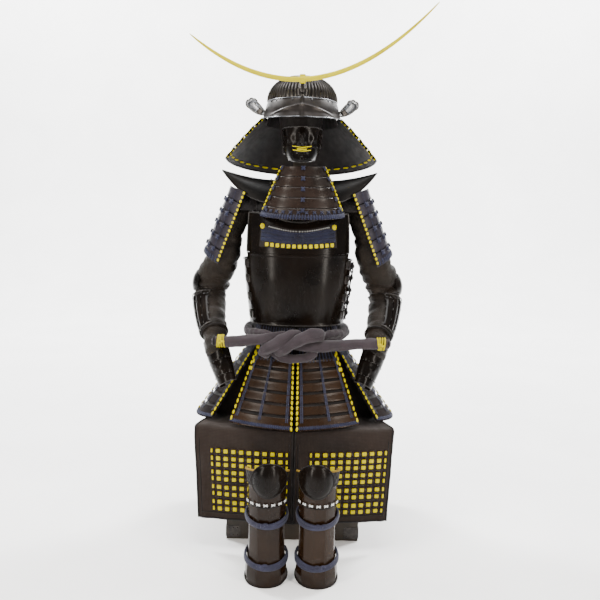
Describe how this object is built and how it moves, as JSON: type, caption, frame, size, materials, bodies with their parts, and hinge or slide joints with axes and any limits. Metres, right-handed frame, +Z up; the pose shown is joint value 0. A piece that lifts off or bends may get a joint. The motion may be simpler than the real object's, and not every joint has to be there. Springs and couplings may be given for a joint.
{
  "type": "samurai armour suit seated on its storage chest with a plain limbless stand",
  "caption": "Full seated samurai armour: helmet with crescent crest, mask, cuirass, shoulder guards, sleeves, skirt, thigh apron and greaves on its chest.",
  "frame": {"origin": "middle of the storage chest's underside, on the floor", "axes": "+Z up, the armour faces -Y, +X is at the viewer's right"},
  "size_m": [0.7738, 0.7305, 1.7101],
  "materials": {
    "black_lacquer": "deep glossy black-brown lacquer",
    "dark_steel": "black lacquered ribbed iron, glossy",
    "dark_cloth": "quilted dark hemp",
    "sash_cloth": "stuffed dark purple-grey cotton",
    "blue_lacing": "braided navy silk",
    "gilt": "pale gilt, satin",
    "dark_wood": "dark lacquered wood"
  },
  "bodies": {
    "armour": {"helmet_bowl": "dark_steel", "helmet_visor": "black_lacquer", "neck_guard": "black_lacquer", "turnback_right": "dark_steel", "turnback_left": "dark_steel", "crest_prong": "dark_steel", "face_mask": "black_lacquer", "throat_guard": "black_lacquer", "chest_body": "dark_wood", "chest_lid": "dark_wood", "stand_frame": "dark_wood", "stand_head": "dark_wood", "cuirass_front": "black_lacquer", "cuirass_chest": "black_lacquer", "cuirass_side_right": "black_lacquer", "cuirass_side_left": "black_lacquer", "cuirass_back": "black_lacquer", "chest_laced_plate": "blue_lacing", "shoulder_strap_right": "dark_cloth", "shoulder_strap_left": "dark_cloth", "skirt_front_right": "black_lacquer", "skirt_front_left": "black_lacquer", "skirt_side_right": "black_lacquer", "skirt_side_left": "black_lacquer", "skirt_rear_right": "black_lacquer", "skirt_rear_left": "black_lacquer", "skirt_back": "black_lacquer", "sash_ring": "sash_cloth", "sash_knot": "sash_cloth", "sash_end_left": "sash_cloth", "sash_end_right": "sash_cloth", "sash_loop": "sash_cloth", "sode_right": "black_lacquer", "sode_left": "black_lacquer", "sode_wing_right": "black_lacquer", "sode_wing_left": "black_lacquer", "shoulder_pad_right": "dark_cloth", "shoulder_pad_left": "dark_cloth", "sleeve_right": "dark_cloth", "sleeve_left": "dark_cloth", "forearm_guard_right": "black_lacquer", "forearm_guard_left": "black_lacquer", "hand_guard_right": "black_lacquer", "hand_guard_left": "black_lacquer", "apron_right": "dark_cloth", "apron_left": "dark_cloth", "apron_plates_right": "black_lacquer", "apron_plates_left": "black_lacquer", "greave_right": "black_lacquer", "greave_left": "black_lacquer", "knee_plate_right": "black_lacquer", "knee_plate_left": "black_lacquer", "knee_cap_right": "dark_steel", "knee_cap_left": "dark_steel", "greave_tie_upper_right": "blue_lacing", "greave_tie_upper_left": "blue_lacing", "greave_tie_lower_right": "blue_lacing", "greave_tie_lower_left": "blue_lacing"},
    "crest": {"crest": "gilt"}
  },
  "joints": [
    {"name": "crest_lift", "type": "slide", "parent": "armour", "child": "crest", "axis": [0, 0, 1], "range_m": [0, 0.06]}
  ]
}
